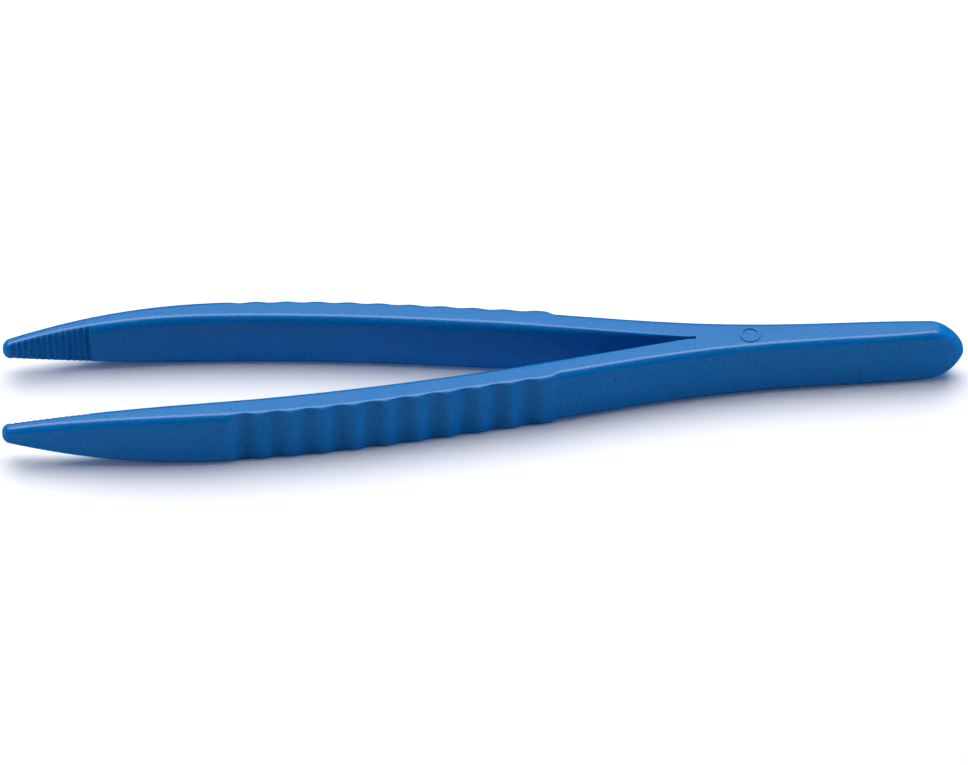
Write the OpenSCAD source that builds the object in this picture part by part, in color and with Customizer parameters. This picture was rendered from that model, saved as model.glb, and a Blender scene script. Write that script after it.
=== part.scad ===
// Print tongs lying on their side, as on a darkroom bench.
// The real thing is one springy plastic moulding: a solid heel that forks into two bowed arms.
// It is drawn here as the zones of that moulding, and each arm bends at its root.
// Origin: middle of the length, on the bench. +X runs to the heel, +Z is up, the arms open along Y.

/* [Overall] */
// Length from the tips to the round heel
length = 154; // [150:1:160]
// Height of the moulding, across its two flat sides
height = 10.2; // [9.6:0.2:12]
// Rounding of all the long edges
edge_r = 1.35; // [0.8:0.05:1.4]
// Rounding of the inner edges where they start at the crotch; they grow rounder as the arms part
crotch_edge_r = 0.15; // [0.1:0.05:0.2]

/* [Heel] */
// How full the heel end is seen from the side, 2 is a half circle and less is more pointed
heel_power = 1.6; // [1.5:0.1:2]
// Distance from the heel end to the crotch where the arms part
heel_len = 43.1; // [42:0.1:45]
// Width of the slot at the crotch
crotch_w = 0.4; // [0.3:0.1:0.6]
// Outer radius of the ejector mark on top of the heel
mark_r = 1.7; // [1.2:0.1:1.7]
// Width of the raised rim of the ejector mark
mark_rim = 0.45; // [0.3:0.05:0.6]
// Height of the raised rim of the ejector mark
mark_h = 0.2; // [0.1:0.05:0.3]
// Distance from the heel end to the middle of the ejector mark
mark_at = 34.4; // [34:0.2:37]

/* [Arms] */
// Half widths that shape the plain outer face, from the heel end to the grip
plain_bow = [1.6, 3.8, 1.0, 4.8, 7.5]; // [0.8:0.1:8]
// Offsets that shape the raised outer face, from the grip to the tip
raised_bow = [8.6, 11.2, 15.8, 14.2, 11.1]; // [8.5:0.1:16]
// Offsets that shape the inner face, from the crotch to the tip
inner_bow = [0, 5.3, 12.1, 8.4]; // [0:0.1:12.5]

/* [Flexure] */
// Distance from the heel end to the axis that each arm bends about
flex_at = 59.3; // [58:0.1:61]
// Radius of the round seam between root and arm
seam_r = 3.5; // [3:0.1:3.8]
// Gap in that seam
seam_gap = 0.05; // [0.03:0.01:0.1]

/* [Finger grip] */
// Distance from the heel end to the foot of the grip
grip_at = 65.2; // [65:0.1:66]
// Spacing of the crests
crest_pitch = 5; // [4.8:0.1:5]
// Number of hollows on each arm
hollows = 10; // [8:1:10]
// Depth of a hollow below its crests
hollow_depth = 0.6; // [0.3:0.05:0.8]
// Depth of the crests below the bow of the outer face, where neighbouring hollows run into each other
crest_cut = 0.35; // [0.1:0.05:0.4]

/* [Nose and jaw] */
// Distance from the heel end to where the sides begin to taper
taper_at = 118.6; // [118:0.1:122]
// How far each side has come in at the tip
taper_drop = 3.55; // [3:0.05:3.8]
// How late the taper comes, 1 is a straight one
taper_power = 2.35; // [1.8:0.05:3]
// Length of the serrated jaw
jaw_len = 16; // [15.5:0.1:17]
// Spacing of the jaw's teeth
tooth_pitch = 1; // [0.9:0.05:1.05]
// Number of grooves between the teeth
grooves = 13; // [8:1:13]
// Depth of a groove
tooth_depth = 0.4; // [0.2:0.05:0.5]
// Distance from the tip to the last groove
last_groove = 1.8; // [1.7:0.1:2.4]
// Rounding of the tip
tip_r = 1.1; // [0.6:0.05:1.1]

/* [Hidden] */
plastic = [0.13, 0.42, 0.72];
mid_z = height / 2;
run_out = 0.8;
foot_len = 2.9;
groove_share = 0.85;
first_crest = grip_at + foot_len;
nose_at = first_crest + hollows * crest_pitch + run_out;
jaw_at = length - jaw_len;
first_groove = length - last_groove - (grooves - 1) * tooth_pitch;
cut_h = height + 2;
corner_steps = 3;
heel_nib = 0.6;
edge_growth = 0.27;

// A smooth run through control heights, for u from 0 to 1
function bow(c, u) = len(c) == 1
    ? c[0]
    : bow([for (i = [0 : len(c) - 2]) c[i] * (1 - u) + c[i + 1] * u], u);

// How far a surface has drawn in at distance d from an end rounded with radius r
function draw_in(d, r) = d >= r ? 0 : r - sqrt(r * r - (r - d) * (r - d));

// Faces of the tongs at distance s from the heel end, measured from the middle plane
function plain_y(s) = bow(plain_bow, s / grip_at);
function raised_y(s) = bow(raised_bow, (s - first_crest) / (length - 1 - first_crest));
function outer_y(s) = s <= grip_at ? plain_y(s)
    : s >= first_crest ? raised_y(s)
    : plain_y(grip_at) + (raised_y(first_crest) - plain_y(grip_at)) * (s - grip_at) / (first_crest - grip_at);
function inner_y(s) = max(crotch_w / 2, bow(inner_bow, (s - heel_len) / (length - 1 - heel_len)));
function taper(s) = s <= taper_at ? 0
    : taper_drop * pow((s - taper_at) / (length - 1 - taper_at), taper_power);

// Rounded rectangle across the moulding at s, from y0 to y1 and half_h above and below the middle,
// with corners of radius r0 on the y0 side and r1 on the y1 side
function ring(s, y0, y1, half_h, r0, r1) = [
    for (corner = [[y1 - r1, half_h - r1, r1, 0], [y0 + r0, half_h - r0, r0, 90],
                   [y0 + r0, r0 - half_h, r0, 180], [y1 - r1, r1 - half_h, r1, 270]])
        for (i = [0 : corner_steps])
            let (r = corner[2], a = corner[3] + 90 * i / corner_steps)
                [length / 2 - s, corner[0] + r * cos(a), mid_z + corner[1] + r * sin(a)]
];

// Half height of the heel at s, seen from the side
function heel_side(s) = s >= mid_z ? mid_z
    : mid_z * pow(1 - pow((mid_z - s) / mid_z, heel_power), 1 / heel_power);

function heel_ring(s) =
    let (half_w = plain_y(s) - draw_in(s, edge_r), half_h = max(heel_nib, heel_side(s)),
         r = min(edge_r, half_w - 0.1, half_h - 0.1))
        ring(s, -half_w, half_w, half_h, r, r);

function arm_ring(s) =
    let (inset = draw_in(length - s, tip_r), y0 = inner_y(s) + inset, y1 = outer_y(s) - inset,
         half_h = mid_z - taper(s) - inset, r1 = min(edge_r, 0.45 * (y1 - y0), 0.8 * half_h))
        ring(s, y0, y1, half_h, min(r1, crotch_edge_r + edge_growth * inner_y(s)), r1);

// Even steps from a to b
function steps(a, b, n) = [for (i = [0 : n]) a + (b - a) * i / n];

// Closed skin over a row of rings that all have the same number of points
module loft(rings) {
    m = len(rings[0]);
    last = len(rings) - 1;
    walls = [
        for (k = [0 : last - 1]) for (j = [0 : m - 1])
            let (a = k * m + j, b = k * m + (j + 1) % m)
                each [[a, b, a + m], [b, b + m, a + m]]
    ];
    near_cap = [for (j = [m - 1 : -1 : 0]) j];
    far_cap = [for (j = [0 : m - 1]) last * m + j];
    polyhedron(points = [for (r = rings) each r], faces = concat(walls, [near_cap, far_cap]));
}

module arm_zone(stations) {
    loft([for (s = stations) arm_ring(s)]);
}

// Upright cutter on the axis that the arm bends about
module at_flexure() {
    middle_y = (inner_y(flex_at) + outer_y(flex_at)) / 2;
    translate([length / 2 - flex_at, middle_y, -1]) children();
}

// ---- zones of one arm, on the +Y side ----

// Springy stretch behind the crotch, with a hollow round end
module root() {
    color(plastic)
        difference() {
            arm_zone(steps(heel_len, flex_at, 7));
            at_flexure() cylinder(h = cut_h, r = seam_r + seam_gap, $fn = 64);
        }
}

// Plain stretch beyond the seam, with a full round end
module shank() {
    color(plastic)
        difference() {
            arm_zone(steps(flex_at - seam_r - 1, grip_at, 5));
            at_flexure()
                difference() {
                    translate([0, -length / 2, 0]) cube([length, length, cut_h]);
                    cylinder(h = cut_h, r = seam_r, $fn = 64);
                }
        }
}

// Finger grip: a raised face with a row of upright hollows
module grip() {
    hollow_r = (pow(crest_pitch / 2, 2) + pow(hollow_depth, 2)) / (2 * hollow_depth);
    color(plastic)
        difference() {
            arm_zone(concat([grip_at], steps(first_crest, nose_at, hollows)));
            for (k = [0 : hollows - 1]) {
                s = first_crest + (k + 0.5) * crest_pitch;
                translate([length / 2 - s, raised_y(s) - crest_cut - hollow_depth + hollow_r, -1])
                    cylinder(h = cut_h, r = hollow_r, $fn = 96);
            }
        }
}

// Plain tapering nose
module nose() {
    color(plastic) arm_zone(steps(nose_at, jaw_at, 8));
}

// Tip with fine upright grooves across its inner face
module jaw() {
    groove_w = groove_share * tooth_pitch;
    groove_r = (pow(groove_w / 2, 2) + pow(tooth_depth, 2)) / (2 * tooth_depth);
    round_end = [for (a = [30 : 30 : 90]) length - tip_r * (1 - sin(a))];
    color(plastic)
        difference() {
            arm_zone(concat(steps(jaw_at, length - tip_r, 5), round_end));
            for (k = [0 : grooves - 1]) {
                s = first_groove + k * tooth_pitch;
                translate([length / 2 - s, inner_y(s) + tooth_depth - groove_r, -1])
                    cylinder(h = cut_h, r = groove_r, $fn = 32);
            }
        }
}

// ---- the moulding ----

module heel_bar() {
    round_end = [for (a = [0 : 10 : 80]) mid_z * (1 - cos(a))];
    color(plastic)
        loft([for (s = concat(round_end, steps(mid_z, heel_len, 8))) heel_ring(s)]);
}

module ejector_mark() {
    color(plastic)
        translate([length / 2 - mark_at, 0, height])
            difference() {
                cylinder(h = mark_h, r = mark_r, $fn = 64);
                translate([0, 0, -1]) cylinder(h = mark_h + 2, r = mark_r - mark_rim, $fn = 64);
            }
}

module front() {
    mirror([0, 1, 0]) children();
}

heel_bar();
ejector_mark();
front() root();  // front_root
front() shank();  // front_shank
front() grip();  // front_grip
front() nose();  // front_nose
front() jaw();  // front_jaw
root();  // rear_root
shank();  // rear_shank
grip();  // rear_grip
nose();  // rear_nose
jaw();  // rear_jaw
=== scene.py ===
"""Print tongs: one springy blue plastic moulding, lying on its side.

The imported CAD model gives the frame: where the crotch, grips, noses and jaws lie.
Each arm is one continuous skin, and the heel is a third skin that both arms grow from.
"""

import math

import bpy
import numpy as np
from mathutils import Matrix, Vector


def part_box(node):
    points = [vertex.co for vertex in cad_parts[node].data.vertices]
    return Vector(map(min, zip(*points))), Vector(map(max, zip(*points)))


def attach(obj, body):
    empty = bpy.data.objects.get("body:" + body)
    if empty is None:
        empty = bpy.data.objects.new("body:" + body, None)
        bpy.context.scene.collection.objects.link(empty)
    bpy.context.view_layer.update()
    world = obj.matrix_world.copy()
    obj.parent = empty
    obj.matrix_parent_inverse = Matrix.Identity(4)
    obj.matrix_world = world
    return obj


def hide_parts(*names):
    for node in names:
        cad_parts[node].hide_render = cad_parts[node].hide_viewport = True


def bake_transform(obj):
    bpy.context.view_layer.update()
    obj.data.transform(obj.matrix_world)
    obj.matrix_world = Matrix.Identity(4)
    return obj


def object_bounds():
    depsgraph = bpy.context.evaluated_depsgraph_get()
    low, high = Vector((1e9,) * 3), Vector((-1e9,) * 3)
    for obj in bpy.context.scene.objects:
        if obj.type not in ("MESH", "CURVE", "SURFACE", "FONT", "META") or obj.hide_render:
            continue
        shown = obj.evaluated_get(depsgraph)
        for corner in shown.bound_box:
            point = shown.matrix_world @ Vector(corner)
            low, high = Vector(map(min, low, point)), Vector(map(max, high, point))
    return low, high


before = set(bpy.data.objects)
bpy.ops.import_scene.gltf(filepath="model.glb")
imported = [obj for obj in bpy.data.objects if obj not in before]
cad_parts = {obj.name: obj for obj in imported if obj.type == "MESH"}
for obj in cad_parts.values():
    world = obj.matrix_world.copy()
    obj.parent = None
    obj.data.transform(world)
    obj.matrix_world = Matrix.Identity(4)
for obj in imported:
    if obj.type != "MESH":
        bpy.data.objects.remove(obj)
cad_low, cad_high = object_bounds()

MM = 0.001

# ---------------------------------------------------------------- sizes, from the frame
HEEL_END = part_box("heel_bar")[1].x
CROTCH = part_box("heel_bar")[0].x
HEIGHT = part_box("heel_bar")[1].z
MID_Z = HEIGHT / 2
GRIP_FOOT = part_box("rear_grip")[1].x
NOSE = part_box("rear_grip")[0].x
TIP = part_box("rear_jaw")[0].x
MARK_LOW, MARK_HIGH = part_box("ejector_mark")

# ---------------------------------------------------------------- the moulding's own shape
EDGE_R = 1.35 * MM
HEEL_POWER = 1.6  # how full the heel end is, 2 is a half circle
PLAIN_BOW = [1.6 * MM, 3.8 * MM, 1.0 * MM, 4.8 * MM, 7.5 * MM]  # half width, from the heel end to the grip
# Outer face, from the first crest to the tip
RAISED_BOW = [8.6 * MM, 11.2 * MM, 15.8 * MM, 14.2 * MM, 11.1 * MM]
INNER_BOW = [0.0, 5.3 * MM, 12.1 * MM, 8.4 * MM]  # inner face, from the crotch to the tip
CROTCH_HALF = 0.2 * MM
CROTCH_EDGE_R = 0.15 * MM
EDGE_GROWTH = 0.27  # how fast the inner edges grow rounder as the arms part
CREST_PITCH = 5.0 * MM
HOLLOWS = 10
HOLLOW_DEPTH = 0.6 * MM
CREST_CUT = 0.35 * MM  # how far the crests stay behind the bow of the outer face
TOOTH_PITCH = 1.0 * MM
GROOVES = 13
TOOTH_DEPTH = 0.43 * MM
TOOTH_CUT = 0.28 * MM  # how far the teeth stay behind the inner face, out to the tip
LAST_GROOVE = 1.8 * MM  # from the tip
TAPER_START = 118.6 * MM  # from the heel end
TAPER_DROP = 3.55 * MM
TAPER_POWER = 2.35
TIP_R = 1.1 * MM
BOW_END = 1.0 * MM  # the bows' control heights end this far from the tip
CREASE = 0.16 * MM  # half width of the band that rounds the edge of a hollow
FIRST_CREST = GRIP_FOOT - 2.9 * MM
ARM_THICK = 4.0 * MM  # of the straight bar that an arm is shaped from
HEEL_HALF = 2.3 * MM  # half width of the bar that the heel is shaped from
JAW_START = TIP + LAST_GROOVE + (GROOVES - 0.5) * TOOTH_PITCH
ARC_ROWS = 20  # rows of points round each long edge
FILLET_ROWS = 0.6  # share of them on the edge's own round, the rest follow the crease of a hollow
PLAIN_STEP = 0.8 * MM  # between rings of points where the faces are plain
WAVE_TOP = 0.8  # height of a crest in wave()
NEAR = 0.01 * MM


def deselect():
    bpy.ops.object.select_all(action="DESELECT")


def bow(heights, u):
    """A smooth run through control heights, for u from 0 to 1."""
    rows = list(heights)
    while len(rows) > 1:
        rows = [a * (1 - u) + b * u for a, b in zip(rows, rows[1:])]
    return rows[0]


def smooth(low, high, value):
    """0 below low, 1 above high, and a smooth step between them."""
    t = np.clip((value - low) / (high - low), 0.0, 1.0)
    return t * t * (3 - 2 * t)


def draw_in(distance, radius):
    """How far a surface has drawn in at a distance from an end rounded with radius."""
    d = np.clip(distance, 0.0, radius)
    return radius - np.sqrt(radius**2 - (radius - d) ** 2)


def wave(distance_in_pitches):
    """Height of a row of round crests, WAVE_TOP to 0 in a hollow, by the distance to the nearest crest."""
    u = distance_in_pitches
    return np.where(u < 0.1, WAVE_TOP - 16 * u**2, 4 * (0.5 - np.minimum(u, 0.5)) ** 2)


# ---------------------------------------------------------------- faces of the moulding, by x
def plain_y(x):
    return bow(PLAIN_BOW, (HEEL_END - x) / (HEEL_END - GRIP_FOOT))


def raised_y(x):
    return bow(RAISED_BOW, (FIRST_CREST - x) / (FIRST_CREST - TIP - BOW_END))


def inner_y(x):
    return np.maximum(CROTCH_HALF, bow(INNER_BOW, (CROTCH - x) / (CROTCH - TIP - BOW_END)))


def outer_y(x):
    """The outer face before the hollows are cut: plain behind the grip, raised in front of it."""
    rise = smooth(0.0, 0.6, (GRIP_FOOT - x) / (GRIP_FOOT - FIRST_CREST))
    return plain_y(np.maximum(x, FIRST_CREST)) * (1 - rise) + raised_y(np.minimum(x, GRIP_FOOT)) * rise


def taper(x):
    start = HEEL_END - TAPER_START
    u = np.clip((start - x) / (start - TIP - BOW_END), 0.0, None)
    return TAPER_DROP * u**TAPER_POWER


def hollow_cut(x):
    """Depth of the finger hollows and their crests below the outer face."""
    pitches = (FIRST_CREST - x) / CREST_PITCH
    to_crest = np.abs(pitches - np.round(pitches))
    between = CREST_CUT + HOLLOW_DEPTH * (1 - wave(to_crest) / WAVE_TOP)
    past = np.clip((pitches - HOLLOWS + 0.5) / 0.5, 0.0, 1.0)
    last = (CREST_CUT + HOLLOW_DEPTH) * (1 - past**2)
    foot = np.clip((GRIP_FOOT - x) / (GRIP_FOOT - FIRST_CREST), 0.0, 1.0)
    ramp = plain_y(x) + (raised_y(x) - CREST_CUT - plain_y(x)) * foot**1.5
    before = np.clip(outer_y(x) - ramp, 0.0, CREST_CUT + HOLLOW_DEPTH)
    return np.where(pitches > HOLLOWS - 0.5, last, np.where(pitches < 0, before * (foot > 0), between))


def tooth_cut(x):
    """Depth of the fine grooves across the jaw's inner face and of their crests, out to the tip."""
    pitches = (JAW_START - x) / TOOTH_PITCH
    to_crest = np.abs(pitches - np.round(pitches))
    inside = (pitches > 0) & (pitches < GROOVES)
    grooves = np.where(inside, TOOTH_DEPTH * (1 - wave(to_crest) / WAVE_TOP), 0.0)
    return grooves + TOOTH_CUT * smooth(0.0, 0.5, pitches)


# ---------------------------------------------------------------- modelling
def block(name, low, high):
    """A box between two corners, with its place in its mesh, left in edit mode."""
    deselect()
    middle = (Vector(low) + Vector(high)) / 2
    bpy.ops.mesh.primitive_cube_add(size=1, location=middle, scale=Vector(high) - Vector(low))
    piece = bpy.context.object
    piece.name = piece.data.name = name
    bpy.ops.object.transform_apply(location=True, rotation=True, scale=True)
    bpy.ops.object.mode_set(mode="EDIT")
    bpy.ops.mesh.select_mode(type="EDGE")
    return piece


def pick_edges(piece, wanted):
    """Selects the edges whose two ends satisfy wanted(a, b)."""
    bpy.ops.mesh.select_all(action="DESELECT")
    bpy.ops.object.mode_set(mode="OBJECT")
    points = piece.data.vertices
    for edge in piece.data.edges:
        a, b = (points[i].co for i in edge.vertices)
        edge.select = wanted(a, b)
    bpy.ops.object.mode_set(mode="EDIT")


def cut(places, axis):
    """Cuts the mesh straight through at each place along an axis."""
    for place in places:
        bpy.ops.mesh.select_all(action="SELECT")
        bpy.ops.mesh.bisect(plane_co=axis * place, plane_no=axis)


def divide(piece, low, high, step):
    """Divides the stretch from x low to high into equal lengths of about step."""
    near = 0.05 * MM
    pick_edges(piece, lambda a, b: abs(a.x - b.x) > (high - low) * 0.9
               and min(a.x, b.x) > low - near and max(a.x, b.x) < high + near)
    bpy.ops.mesh.subdivide(number_cuts=max(1, round((high - low) / step) - 1))


def read_points(piece):
    points = np.empty(len(piece.data.vertices) * 3)
    piece.data.vertices.foreach_get("co", points)
    return points.reshape(-1, 3)


def write_points(piece, points):
    piece.data.vertices.foreach_set("co", points.ravel())
    piece.data.update()


def long_edge(way, tall, radius, cut_depth):
    """A half side of the arm's section: a rounded long edge, then a face that may be cut back behind it.

    way runs from 0 where the round starts, past 1 where the face starts, to 2 at the middle of the face.
    Gives the offset from the uncut face and the height above the middle of the section.
    """
    angle = np.arcsin(1 - np.minimum(cut_depth / radius, 0.95))
    corner = tall - radius
    crease_up = corner + radius * np.cos(angle)
    meet = radius * angle
    before = np.maximum(meet - CREASE, 0.0)
    after = meet + np.minimum(CREASE, 0.4 * crease_up)
    on_round = before * np.clip(way / FILLET_ROWS, 0.0, 1.0)
    on_crease = (after - before) * np.clip((way - FILLET_ROWS) / (1 - FILLET_ROWS), 0.0, 1.0)
    along = on_round + on_crease
    face_top = crease_up - (after - meet)
    up = np.where(along <= meet, corner + radius * np.cos(along / radius), crease_up - (along - meet))
    up = np.where(way > 1, face_top * (2 - way), up)
    rise = np.clip(up - corner, 0.0, radius)
    fillet = np.sqrt(radius**2 - rise**2) - radius
    soft = 0.09 * MM * smooth(0.0, 0.15 * MM, cut_depth)
    offset = (fillet - cut_depth - np.sqrt((fillet + cut_depth) ** 2 + soft**2)) / 2
    return offset, up


def bow_arm(piece):
    """Shapes the straight bar into the bowed rear arm, with its hollows, teeth and round tip."""
    p = read_points(piece)
    x, across, up = p[:, 0], p[:, 1], p[:, 2] - MID_Z
    near_tip = np.clip((x - TIP) / TIP_R, 0.0, 1.0)
    x = np.where(near_tip < 1, TIP + TIP_R * (1 - np.cos(near_tip * math.pi / 2)), x)
    inset = draw_in(x - TIP, TIP_R)
    low, high = inner_y(x) + inset, outer_y(x) - inset
    thick = high - low
    tall = MID_Z - taper(x) - inset
    outer = across > 0
    most = np.minimum(0.45 * thick, 0.8 * tall)
    radius = np.minimum(EDGE_R, most)
    inner_radius = np.minimum(radius, CROTCH_EDGE_R + EDGE_GROWTH * inner_y(x))
    flat = MID_Z - EDGE_R
    turned = np.arctan2(np.abs(across) - (ARM_THICK / 2 - EDGE_R), np.maximum(np.abs(up) - flat, 0.0))
    way = np.where(np.abs(up) > flat, turned / (math.pi / 2), 2 - np.abs(up) / flat)
    radius = np.where(outer, radius, inner_radius)
    depth = np.where(outer, hollow_cut(x), tooth_cut(x))
    offset, height = long_edge(way, tall, radius, depth)
    y = np.where(outer, np.minimum(high, cad_high.y - 0.01 * MM) + offset, low - offset)
    write_points(piece, np.column_stack([x, y, MID_Z + np.sign(up) * height]))


def finish_skin(piece):
    bpy.ops.object.mode_set(mode="OBJECT")
    deselect()
    piece.select_set(True)
    bpy.context.view_layer.objects.active = piece
    bpy.ops.object.shade_smooth_by_angle(angle=math.radians(50))


def make_arm():
    """The rear arm: a straight bar with rounded edges, divided finely where it has detail, then bowed."""
    arm = block("rear_arm_skin", (TIP, -ARM_THICK / 2, 0), (CROTCH, ARM_THICK / 2, HEIGHT))
    pick_edges(arm, lambda a, b: abs(a.x - b.x) > (CROTCH - TIP) / 2)
    bpy.ops.mesh.bevel(offset=EDGE_R, segments=ARC_ROWS, affect="EDGES")
    for share in (0.2, 0.4, 0.6, 0.8):
        cut([MID_Z - share * (MID_Z - EDGE_R), MID_Z + share * (MID_Z - EDGE_R)], Vector((0, 0, 1)))
    foot, jaw, tip_round = GRIP_FOOT + 1 * MM, JAW_START + 0.5 * MM, TIP + TIP_R
    cut([foot, NOSE, jaw, tip_round], Vector((1, 0, 0)))
    divide(arm, foot, CROTCH, PLAIN_STEP)
    divide(arm, NOSE, foot, CREST_PITCH / 20)
    divide(arm, jaw, NOSE, PLAIN_STEP)
    divide(arm, tip_round, jaw, TOOTH_PITCH / 10)
    divide(arm, TIP, tip_round, 0.1 * MM)
    bpy.ops.object.mode_set(mode="OBJECT")
    bow_arm(arm)
    finish_skin(arm)
    return arm


def mirror_arm(arm):
    """The front arm: a copy of the rear one, mirrored about the middle plane."""
    deselect()
    arm.select_set(True)
    bpy.context.view_layer.objects.active = arm
    bpy.ops.object.duplicate()
    front = bpy.context.object
    front.name = front.data.name = "front_arm_skin"
    front.scale.y = -1
    bpy.ops.object.transform_apply(location=True, rotation=True, scale=True)
    bpy.ops.object.mode_set(mode="EDIT")
    bpy.ops.mesh.select_all(action="SELECT")
    bpy.ops.mesh.normals_make_consistent(inside=False)
    bpy.ops.object.mode_set(mode="OBJECT")
    return front


def make_heel():
    """The heel: a bar with a round end and rounded edges, widened towards the crotch."""
    heel = block("heel_skin", (CROTCH, -HEEL_HALF, 0), (HEEL_END, HEEL_HALF, HEIGHT))
    pick_edges(heel, lambda a, b: min(a.x, b.x) > HEEL_END - NEAR and abs(a.y - b.y) > HEEL_HALF)
    bpy.ops.mesh.bevel(offset=MID_Z - NEAR, segments=28, affect="EDGES")
    pick_edges(heel, lambda a, b: abs(abs(a.y) - HEEL_HALF) < NEAR and abs(a.y - b.y) < NEAR
               and max(a.x, b.x) > CROTCH + NEAR)
    bpy.ops.mesh.bevel(offset=EDGE_R, segments=14, affect="EDGES")
    round_start = HEEL_END - MID_Z
    cut([round_start], Vector((1, 0, 0)))
    divide(heel, CROTCH, round_start, PLAIN_STEP)
    bpy.ops.object.mode_set(mode="OBJECT")
    p = read_points(heel)
    flat = HEEL_HALF - EDGE_R
    wide = plain_y(p[:, 0]) - EDGE_R
    size = np.abs(p[:, 1])
    p[:, 1] = np.sign(p[:, 1]) * np.where(size > flat, wide + size - flat, size * wide / flat)
    ahead = np.maximum(p[:, 0] - round_start, 0.0)
    turned = np.arctan2(p[:, 2] - MID_Z, ahead)
    slim = (np.cos(turned) ** HEEL_POWER + np.abs(np.sin(turned)) ** HEEL_POWER) ** (-1 / HEEL_POWER)
    slim = np.where(ahead > NEAR, slim, 1.0)
    p[:, 0] = np.where(ahead > NEAR, round_start + ahead * slim, p[:, 0])
    p[:, 2] = MID_Z + (p[:, 2] - MID_Z) * slim
    write_points(heel, p)
    finish_skin(heel)
    return heel


def make_mark():
    """A shallow ring left by an ejector sleeve, in place of the real mark."""
    rim, rounding = 0.45 * MM, 0.07 * MM
    tall = MARK_HIGH.z - MARK_LOW.z
    deselect()
    bpy.ops.mesh.primitive_cylinder_add(
        vertices=72, radius=(MARK_HIGH.x - MARK_LOW.x) / 2, depth=tall, location=(MARK_LOW + MARK_HIGH) / 2)
    mark = bpy.context.object
    mark.name = mark.data.name = "ejector_ring"
    bpy.ops.object.transform_apply(location=True, rotation=True, scale=True)
    bpy.ops.object.mode_set(mode="EDIT")
    bpy.ops.mesh.select_mode(type="FACE")
    bpy.ops.mesh.select_all(action="DESELECT")
    bpy.ops.object.mode_set(mode="OBJECT")
    for face in mark.data.polygons:
        face.select = face.normal.z > 0.9
    bpy.ops.object.mode_set(mode="EDIT")
    bpy.ops.mesh.inset(thickness=rim)
    bpy.ops.mesh.extrude_region_move(TRANSFORM_OT_translate={"value": (0, 0, -0.9 * tall)})
    bpy.ops.mesh.select_mode(type="EDGE")
    pick_edges(mark, lambda a, b: min(a.z, b.z) > MARK_HIGH.z - NEAR and (a - b).length < rim * 0.8)
    bpy.ops.mesh.bevel(offset=rounding, segments=3, affect="EDGES")
    finish_skin(mark)
    return mark


# ---------------------------------------------------------------- materials
def linear(hex_colour):
    """sRGB hex to linear RGBA."""
    parts = [int(hex_colour[i : i + 2], 16) / 255 for i in (1, 3, 5)]
    return [c / 12.92 if c <= 0.04045 else ((c + 0.055) / 1.055) ** 2.4 for c in parts] + [1.0]


def add(tree, kind, links=(), **settings):
    """Adds a node, sets its properties or inputs by name, and links its inputs."""
    node = tree.nodes.new(kind)
    for key, value in settings.items():
        if key in node.inputs:
            node.inputs[key].default_value = value
        else:
            setattr(node, key, value)
    for socket, source in dict(links).items():
        tree.links.new(source, node.inputs[socket])
    return node


def moulded_polypropylene():
    """Blue polypropylene from a spark-eroded mould: a satin face, a fine mottle and a few dark specks."""
    material = bpy.data.materials.new("moulded_polypropylene_blue")
    material.use_nodes = True
    tree = material.node_tree
    shader = tree.nodes["Principled BSDF"]
    shader.inputs["IOR"].default_value = 1.49
    place = add(tree, "ShaderNodeTexCoord").outputs["Object"]
    # The pigment is uneven at the size of the mould's grain
    mottle = add(tree, "ShaderNodeTexNoise", {"Vector": place},
                 Scale=1 / (0.34 * MM), Detail=2.0, Roughness=0.6)
    share = add(tree, "ShaderNodeMapRange", {"Value": mottle.outputs["Fac"]},
                **{"From Min": 0.3, "From Max": 0.7})
    pigment = add(tree, "ShaderNodeMix", {"Factor": share.outputs["Result"]}, data_type="RGBA")
    pigment.inputs["A"].default_value = linear("#0061A1")
    pigment.inputs["B"].default_value = linear("#0072B9")
    # Specks of dust in the melt, a few millimetres apart where they meet the surface
    dust = add(tree, "ShaderNodeTexVoronoi", {"Vector": place}, Scale=1 / (3.2 * MM))
    clean = add(tree, "ShaderNodeMapRange", {"Value": dust.outputs["Distance"]},
                **{"From Min": 0.035, "From Max": 0.06})
    specked = add(tree, "ShaderNodeMix", {"Factor": clean.outputs["Result"], "B": pigment.outputs["Result"]},
                  data_type="RGBA")
    specked.inputs["A"].default_value = linear("#0B3A66")
    # The grain leaves fine dark pits, close together
    pits = add(tree, "ShaderNodeTexVoronoi", {"Vector": place}, Scale=1 / (0.75 * MM))
    pitted = add(tree, "ShaderNodeMapRange", {"Value": pits.outputs["Distance"]},
                 **{"From Min": 0.12, "From Max": 0.26, "To Min": 0.72, "To Max": 1.0})
    shaded = add(tree, "ShaderNodeVectorMath", {0: specked.outputs["Result"], 1: pitted.outputs["Result"]},
                 operation="MULTIPLY")
    tree.links.new(shaded.outputs["Vector"], shader.inputs["Base Color"])
    # Handling has rubbed the satin unevenly
    wear = add(tree, "ShaderNodeTexNoise", {"Vector": place}, Scale=1 / (5 * MM), Detail=4.0)
    satin = add(tree, "ShaderNodeMapRange", {"Value": wear.outputs["Fac"]},
                **{"From Min": 0.3, "From Max": 0.7, "To Min": 0.2, "To Max": 0.27})
    tree.links.new(satin.outputs["Result"], shader.inputs["Roughness"])
    grain = add(tree, "ShaderNodeTexNoise", {"Vector": place}, Scale=1 / (0.3 * MM), Detail=2.0)
    bump = add(tree, "ShaderNodeBump", {"Height": grain.outputs["Fac"]}, Strength=0.12, Distance=0.03 * MM)
    tree.links.new(bump.outputs["Normal"], shader.inputs["Normal"])
    return material


def matt_white_board():
    material = bpy.data.materials.new("matt_white_board")
    material.use_nodes = True
    shader = material.node_tree.nodes["Principled BSDF"]
    shader.inputs["Base Color"].default_value = linear("#FAFAFA")
    shader.inputs["Roughness"].default_value = 0.9
    return material


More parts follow.
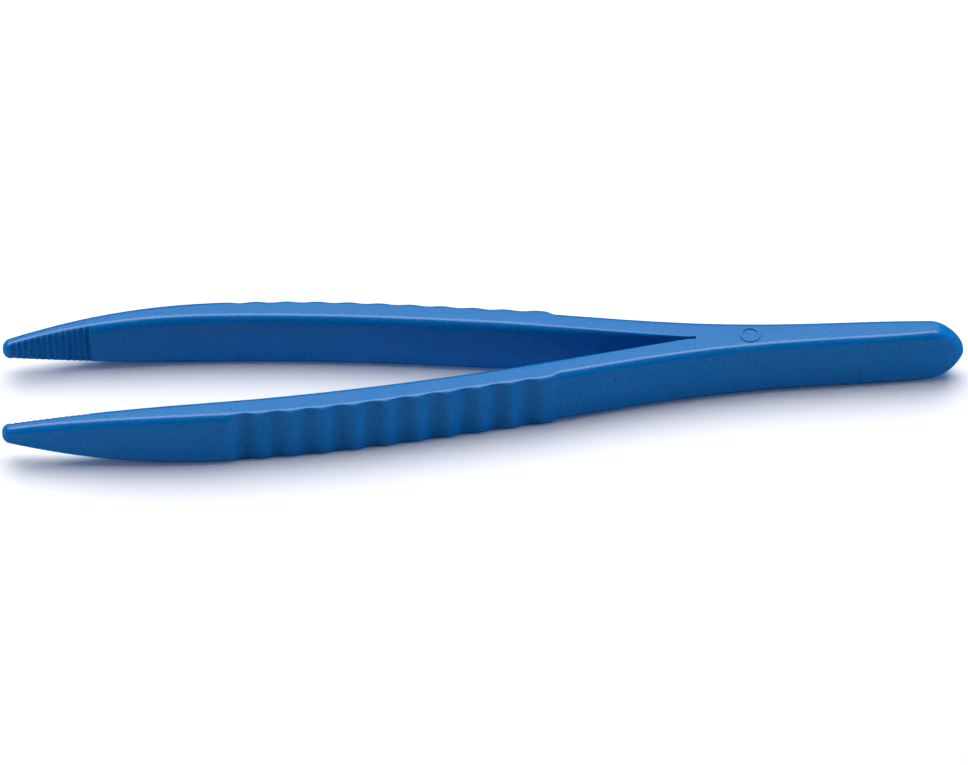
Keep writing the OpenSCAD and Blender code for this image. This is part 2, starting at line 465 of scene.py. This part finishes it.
# ---------------------------------------------------------------- the camera and the studio
WHITE = (1.0, 1.0, 1.0)
SKY = (0.55, 0.68, 1.0)
PALE_CYAN = (0.88, 1.0, 1.0)


def make_camera():
    """A long lens on the front arm's side, turned a little and looking down on the flat side."""
    turn, down, tilt = math.radians(2.57), math.radians(44.0), math.radians(-0.765)
    reach = 928.8 * MM
    right = Vector((math.cos(turn), -math.sin(turn), 0))
    ahead = Vector((math.sin(turn) * math.cos(down), math.cos(turn) * math.cos(down), -math.sin(down)))
    up = right.cross(ahead)
    aim = Vector((1.01 * MM, 0, MID_Z)) - right * 1.05 * MM - up * 2.10 * MM
    data = bpy.data.cameras.new("camera")
    data.sensor_width = 36
    data.lens = 215.8
    data.clip_start, data.clip_end = 0.05, 20
    camera = bpy.data.objects.new("camera", data)
    bpy.context.scene.collection.objects.link(camera)
    stand = Matrix((right, up, -ahead)).transposed().to_4x4()
    stand.translation = aim - ahead * reach
    camera.matrix_world = stand @ Matrix.Rotation(tilt, 4, "Z")
    bpy.context.scene.camera = camera


def softbox(name, up, round_to, reach, size, radiance, tint, reflected=False):
    """A panel light at an angle up from the bench, behind the tongs or turned round to their side.

    It either gives soft light or is only seen as a reflection.
    """
    data = bpy.data.lights.new(name, "AREA")
    data.shape = "RECTANGLE"
    data.size, data.size_y = size
    data.energy = radiance * math.pi * size[0] * size[1]
    data.color = tint
    light = bpy.data.objects.new(name, data)
    bpy.context.scene.collection.objects.link(light)
    low, turned = reach * math.cos(math.radians(up)), math.radians(round_to)
    light.location = (low * math.sin(turned), low * math.cos(turned), reach * math.sin(math.radians(up)))
    light.rotation_euler = (-light.location).to_track_quat("-Z", "Y").to_euler()
    light.visible_diffuse, light.visible_glossy = not reflected, reflected


def make_studio():
    deselect()
    bpy.ops.mesh.primitive_plane_add(size=6, location=(0, 0, 0))
    floor = bpy.context.object
    floor.name = "floor"
    floor.data.materials.append(matt_white_board())
    floor.visible_glossy = False
    world = bpy.data.worlds.new("studio")
    world.use_nodes = True
    # A dark room, so that only the panels are reflected
    world.node_tree.nodes["Background"].inputs["Color"].default_value = (0.75, 0.8, 1.0, 1)
    world.node_tree.nodes["Background"].inputs["Strength"].default_value = 0.02
    bpy.context.scene.world = world
    softbox("overhead", 66, 0, 1.4, (1.8, 1.5), 3.8, WHITE)
    softbox("left_panel", 9, -95, 1.6, (0.6, 0.6), 16.0, SKY)
    softbox("right_panel", 9, 95, 1.6, (0.6, 0.6), 16.0, SKY)
    softbox("back_panel", 44, 0, 2.0, (3.0, 1.1), 1.0, PALE_CYAN, reflected=True)
    softbox("back_strip", 72, 0, 2.0, (3.0, 1.0), 4.4, WHITE, reflected=True)
    bpy.context.scene.view_settings.view_transform = "Standard"


# ---------------------------------------------------------------- the tongs
make_camera()
make_studio()
rear = make_arm()
front = mirror_arm(rear)
heel = make_heel()
mark = make_mark()

plastic = moulded_polypropylene()
for piece in (rear, front, heel, mark):
    piece.data.materials.clear()
    piece.data.materials.append(plastic)

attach(heel, "heel")
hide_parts("heel_bar")
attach(mark, "heel")
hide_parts("ejector_mark")
for piece, side in ((front, "front"), (rear, "rear")):
    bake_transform(piece)
    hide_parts(*(side + zone for zone in ("_root", "_shank", "_grip", "_nose", "_jaw")))
